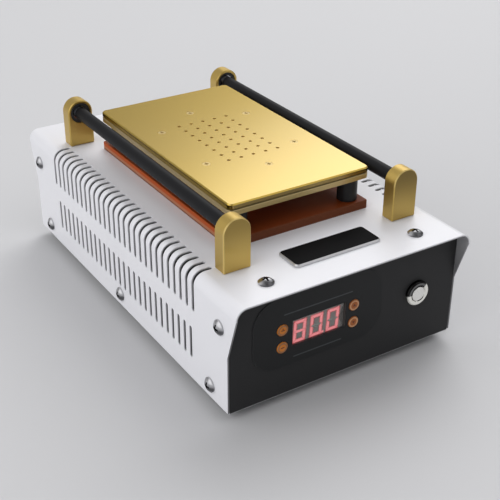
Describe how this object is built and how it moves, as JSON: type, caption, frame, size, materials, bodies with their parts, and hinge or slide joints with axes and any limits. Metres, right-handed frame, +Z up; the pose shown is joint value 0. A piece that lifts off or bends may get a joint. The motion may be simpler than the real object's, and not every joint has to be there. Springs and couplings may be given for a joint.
{
  "type": "lcd screen separator",
  "caption": "Bench screen separator: heated suction plate with rows of small holes on a slotted sheet-metal case, guide rods in brackets beside it, digit display, keys and a start button.",
  "frame": {"origin": "on the bench under the middle of the case: the middle of the bounding box's underside", "axes": "+X to the right as seen from the front, +Y from the front panel to the rear panel, +Z up"},
  "size_m": [0.1882, 0.318, 0.1252],
  "materials": {
    "cover_paint": "satin",
    "tray_paint": "satin",
    "foot_rubber": "matte",
    "screw_steel": "polished",
    "badge_black": "gloss",
    "overlay_film": "matte",
    "window_red": "gloss",
    "display_body": "matte",
    "circuit_board": "satin",
    "standoff_steel": "satin",
    "switch_plastic": "matte",
    "key_orange": "satin",
    "bezel_chrome": "polished",
    "cap_steel": "brushed",
    "spring_steel": "satin",
    "bracket_gold": "anodised satin",
    "bearing_black": "satin",
    "race_steel": "polished",
    "shaft_steel": "satin",
    "sleeve_black": "satin",
    "board_brown": "satin",
    "post_black": "satin",
    "plate_gold": "anodised satin",
    "lower_gold": "anodised satin",
    "seal_dark": "matte",
    "mat_silicone": "matte",
    "gold_screw": "satin",
    "nipple_brass": "satin",
    "hose_silicone": "matte",
    "lead_sleeve": "matte",
    "motor_steel": "satin",
    "pump_black": "matte",
    "cradle_paint": "satin",
    "core_steel": "matte",
    "inlet_black": "satin",
    "drawer_black": "satin",
    "fuse_ceramic": "gloss",
    "rocker_black": "gloss"
  },
  "bodies": {
    "case": {"cover": "cover_paint", "base_tray": "tray_paint", "feet": "foot_rubber", "foot_screws": "standoff_steel", "cover_top_screws": "screw_steel", "cover_side_screws": "screw_steel", "badge_plate": "badge_black", "control_overlay": "overlay_film", "display_window": "window_red", "display_module": "display_body", "controller_board": "circuit_board", "controller_standoffs": "standoff_steel", "tact_switches": "switch_plastic", "start_button_body": "bezel_chrome", "start_button_nut": "standoff_steel", "start_button_spring": "spring_steel", "bracket_front_left": "bracket_gold", "bracket_front_right": "bracket_gold", "bracket_rear_left": "bracket_gold", "bracket_rear_right": "bracket_gold", "bearing_outer_rings": "bearing_black", "bearing_balls": "race_steel", "bracket_screws": "standoff_steel", "insulating_board": "board_brown", "posts": "post_black", "post_screws": "standoff_steel", "post_studs": "standoff_steel", "heater_plate": "lower_gold", "heating_mat": "mat_silicone", "plate_seal": "seal_dark", "suction_plate": "plate_gold", "plate_screws": "gold_screw", "temperature_switch": "standoff_steel", "suction_nipple": "nipple_brass", "vacuum_hose": "hose_silicone", "heater_lead": "lead_sleeve", "pump_motor": "motor_steel", "pump_head": "pump_black", "pump_cradle": "cradle_paint", "pump_grommets": "foot_rubber", "power_board": "circuit_board", "power_board_parts": "switch_plastic", "transformer": "core_steel", "power_board_spacers": "standoff_steel", "mains_inlet": "inlet_black", "rocker_housing": "inlet_black"},
    "rod_left": {"rod_shaft_left": "shaft_steel", "rod_sleeve_left": "sleeve_black", "bearing_inner_rings_left": "race_steel"},
    "rod_right": {"rod_shaft_right": "shaft_steel", "rod_sleeve_right": "sleeve_black", "bearing_inner_rings_right": "race_steel"},
    "start_button": {"start_button_cap": "cap_steel"},
    "upper_left_key": {"key_upper_left": "key_orange"},
    "lower_left_key": {"key_lower_left": "key_orange"},
    "upper_right_key": {"key_upper_right": "key_orange"},
    "lower_right_key": {"key_lower_right": "key_orange"},
    "fuse_holder": {"fuse_drawer": "drawer_black", "fuse": "fuse_ceramic"},
    "power_rocker": {"rocker": "rocker_black"}
  },
  "joints": [
    {"name": "left_rod_spin", "type": "hinge", "parent": "case", "child": "rod_left", "pos_m": [-0.0658, 0, 0.11525], "axis": [0, 1, 0], "continuous": true},
    {"name": "right_rod_spin", "type": "hinge", "parent": "case", "child": "rod_right", "pos_m": [0.0658, 0, 0.11525], "axis": [0, 1, 0], "continuous": true},
    {"name": "start_button_press", "type": "slide", "parent": "case", "child": "start_button", "axis": [0, 1, 0], "range_m": [0, 0.0025], "stiffness_N_per_m": 400, "springref_m": -0.002, "deforming": ["start_button_spring"]},
    {"name": "upper_left_key_press", "type": "slide", "parent": "case", "child": "upper_left_key", "axis": [0, 1, 0], "range_m": [0, 0.0004], "stiffness_N_per_m": 2000, "springref_m": -0.0005},
    {"name": "lower_left_key_press", "type": "slide", "parent": "case", "child": "lower_left_key", "axis": [0, 1, 0], "range_m": [0, 0.0004], "stiffness_N_per_m": 2000, "springref_m": -0.0005},
    {"name": "upper_right_key_press", "type": "slide", "parent": "case", "child": "upper_right_key", "axis": [0, 1, 0], "range_m": [0, 0.0004], "stiffness_N_per_m": 2000, "springref_m": -0.0005},
    {"name": "lower_right_key_press", "type": "slide", "parent": "case", "child": "lower_right_key", "axis": [0, 1, 0], "range_m": [0, 0.0004], "stiffness_N_per_m": 2000, "springref_m": -0.0005},
    {"name": "fuse_drawer_pull", "type": "slide", "parent": "case", "child": "fuse_holder", "axis": [0, 1, 0], "range_m": [0, 0.012]},
    {"name": "power_rocker_tilt", "type": "hinge", "parent": "case", "child": "power_rocker", "pos_m": [-0.012, 0.148, 0.04], "axis": [1, 0, 0], "range_deg": [0, 18]}
  ]
}
